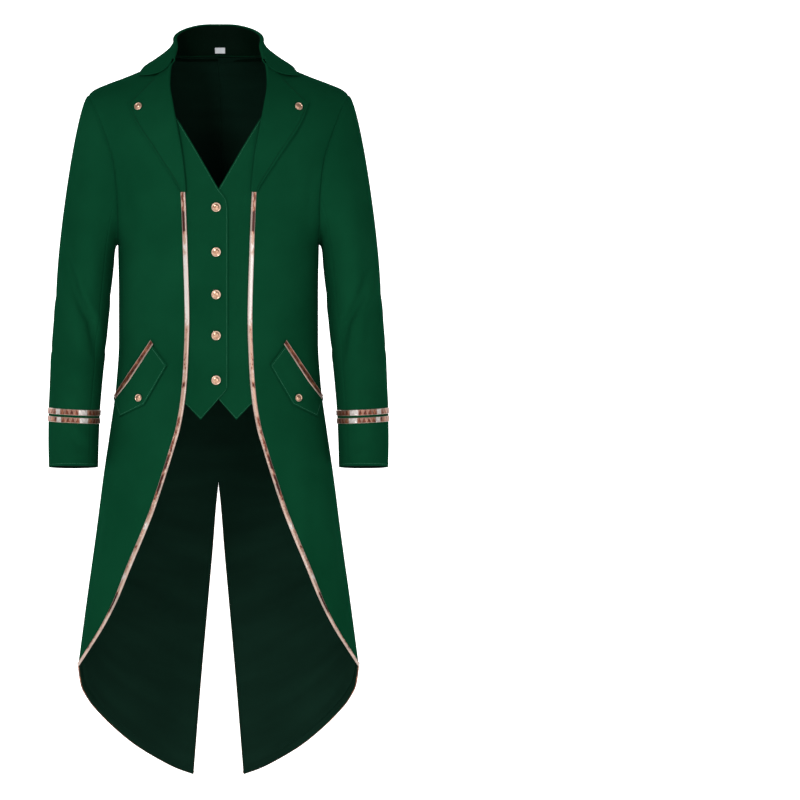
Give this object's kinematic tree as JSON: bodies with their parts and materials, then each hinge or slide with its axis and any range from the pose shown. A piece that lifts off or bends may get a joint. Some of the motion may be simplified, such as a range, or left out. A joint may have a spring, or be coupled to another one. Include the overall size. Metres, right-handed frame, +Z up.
{
  "type": "longline blazer cut like a tailcoat, in worn form with no wearer",
  "caption": "Hollow longline blazer with cutaway fronts, mock waistcoat fronts, turned-down collar, lapels, metallic edge trim, pocket flaps, half belt and vented tails.",
  "frame": {"origin": "middle of the neck opening, level with the back neck seam, where the wearer carries the coat", "axes": "+X to the wearer's left, front faces -Y, +Z up"},
  "size_m": [0.5708, 0.3135, 1.2506],
  "materials": {
    "cloth": "fine smooth suiting",
    "lining": "smooth satin lining",
    "metallic_trim": "crinkled rose gold foil tape",
    "button_metal": "rose gold plate",
    "label": "blank woven label"
  },
  "bodies": {
    "root": {"front_left": "cloth", "front_right": "cloth", "back": "cloth", "sleeve_top_left": "cloth", "sleeve_top_right": "cloth", "sleeve_under_left": "cloth", "sleeve_under_right": "cloth", "collar": "cloth", "lapel_left": "cloth", "lapel_right": "cloth", "waistcoat_left": "cloth", "waistcoat_right": "cloth", "flap_left": "cloth", "flap_right": "cloth", "half_belt": "cloth", "flap_trim_left": "metallic_trim", "flap_trim_right": "metallic_trim", "front_trim_left": "metallic_trim", "front_trim_right": "metallic_trim", "hem_trim_left": "metallic_trim", "hem_trim_right": "metallic_trim", "vent_trim_left": "metallic_trim", "vent_trim_right": "metallic_trim", "vent_tack": "metallic_trim", "sleeve_band_1_left": "metallic_trim", "sleeve_band_1_right": "metallic_trim", "sleeve_band_2_left": "metallic_trim", "sleeve_band_2_right": "metallic_trim", "button_waistcoat_1": "button_metal", "button_waistcoat_2": "button_metal", "button_waistcoat_3": "button_metal", "button_waistcoat_4": "button_metal", "button_waistcoat_5": "button_metal", "button_lapel_left": "button_metal", "button_flap_left": "button_metal", "button_belt_left": "button_metal", "button_cuff_left_1": "button_metal", "button_cuff_left_2": "button_metal", "button_cuff_left_3": "button_metal", "button_lapel_right": "button_metal", "button_flap_right": "button_metal", "button_belt_right": "button_metal", "button_cuff_right_1": "button_metal", "button_cuff_right_2": "button_metal", "button_cuff_right_3": "button_metal", "lining_left": "lining", "lining_right": "lining", "label": "label"}
  },
  "joints": []
}
